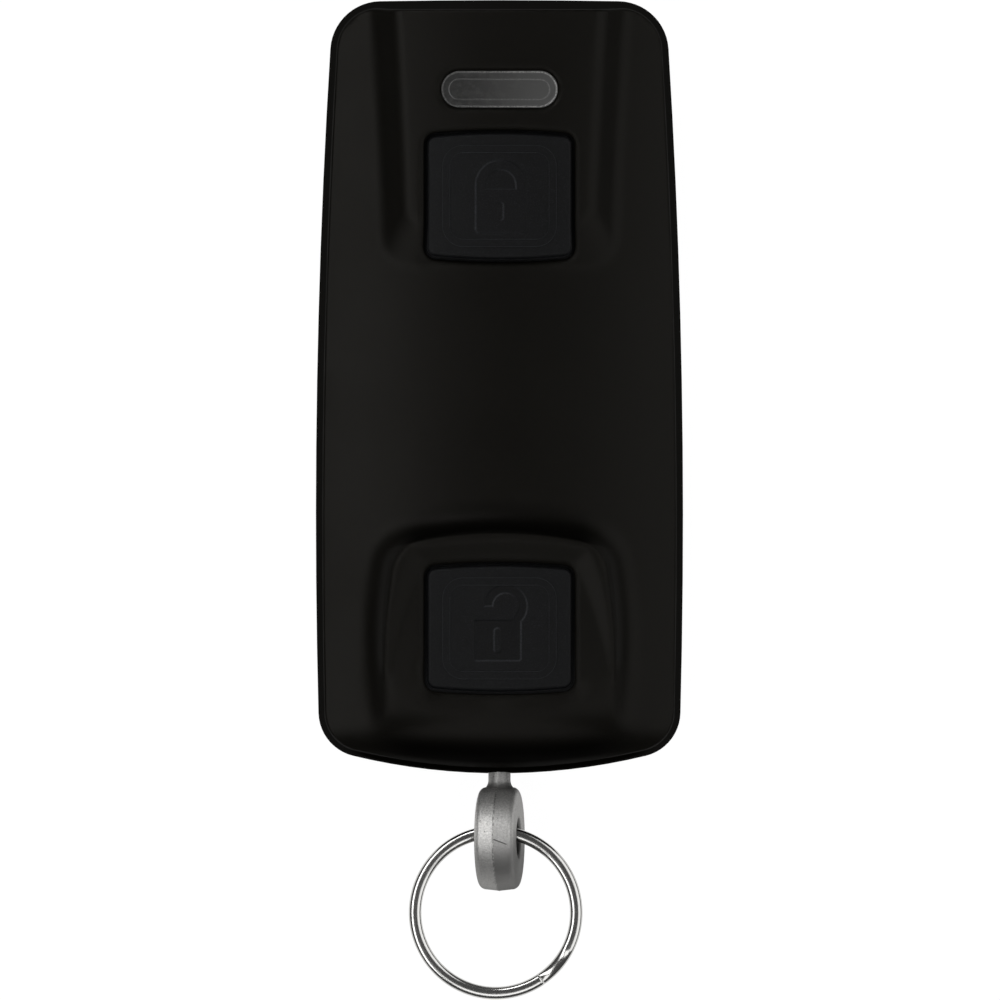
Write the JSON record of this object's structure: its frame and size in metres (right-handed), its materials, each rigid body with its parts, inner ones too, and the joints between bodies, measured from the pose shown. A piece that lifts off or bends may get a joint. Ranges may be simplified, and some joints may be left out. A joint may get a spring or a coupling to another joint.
{
  "type": "door lock remote",
  "caption": "Handheld remote for a door lock, with lock and unlock push keys, a status window, a screwed battery door, and a split key ring on a swivel eye.",
  "frame": {"origin": "middle of the flat back of the case", "axes": "+X across the case, +Y along it towards the end with the status window, +Z out of the face with the keys; the key ring hangs off the -Y end"},
  "size_m": [0.034, 0.0925, 0.014],
  "materials": {
    "cover_plastic": "fine matte moulded texture, warm black",
    "key_plastic": "fine grained, cool black",
    "window_plastic": "smoked, polished",
    "guide_plastic": "clear, polished",
    "lamp_plastic": "cast resin",
    "board_laminate": "green solder mask",
    "switch_plastic": "moulded",
    "chip_plastic": "moulded",
    "antenna_ceramic": "glazed",
    "can_steel": "nickel plated",
    "spring_steel": "plated strip",
    "screw_steel": "black zinc plated",
    "eye_nickel": "satin nickel plated, die cast",
    "ring_nickel": "polished nickel plated"
  },
  "bodies": {
    "housing": {"battery_door": "cover_plastic", "battery_door_screw": "screw_steel", "case_screws": "screw_steel", "cell_holder": "switch_plastic", "chip_antenna": "antenna_ceramic", "chip_components": "chip_plastic", "circuit_board": "board_laminate", "coin_cell": "can_steel", "crystal": "can_steel", "front_cover": "cover_plastic", "light_guide": "guide_plastic", "lock_switch_base": "switch_plastic", "lock_switch_dome": "spring_steel", "lock_switch_frame": "spring_steel", "negative_contact": "spring_steel", "positive_contact": "spring_steel", "radio_chip": "chip_plastic", "rear_cover": "cover_plastic", "status_lamp": "lamp_plastic", "status_window": "window_plastic", "unlock_switch_base": "switch_plastic", "unlock_switch_dome": "spring_steel", "unlock_switch_frame": "spring_steel"},
    "lock_key": {"lock_button": "key_plastic", "lock_switch_plunger": "switch_plastic"},
    "unlock_key": {"unlock_button": "key_plastic", "unlock_switch_plunger": "switch_plastic"},
    "swivel": {"swivel_eye": "eye_nickel", "swivel_washer": "spring_steel", "swivel_clip": "spring_steel"},
    "key_ring": {"split_ring": "ring_nickel"}
  },
  "joints": [
    {"name": "lock_button_press", "type": "slide", "parent": "housing", "child": "lock_key", "axis": [0, 0, -1], "range_m": [0, 0.0005], "stiffness_N_per_m": 1500, "springref_m": -0.0002, "deforming": ["lock_switch_dome"]},
    {"name": "unlock_button_press", "type": "slide", "parent": "housing", "child": "unlock_key", "axis": [0, 0, -1], "range_m": [0, 0.0005], "stiffness_N_per_m": 1500, "springref_m": -0.0002, "deforming": ["unlock_switch_dome"]},
    {"name": "eye_swivel", "type": "hinge", "parent": "housing", "child": "swivel", "pos_m": [0, -0.04181, 0.0052], "axis": [0, 1, 0], "continuous": true},
    {"name": "ring_swing", "type": "hinge", "parent": "swivel", "child": "key_ring", "pos_m": [0, -0.04181, 0.0052], "axis": [0.9917, 0, 0.1288], "range_deg": [-110, 110]}
  ]
}
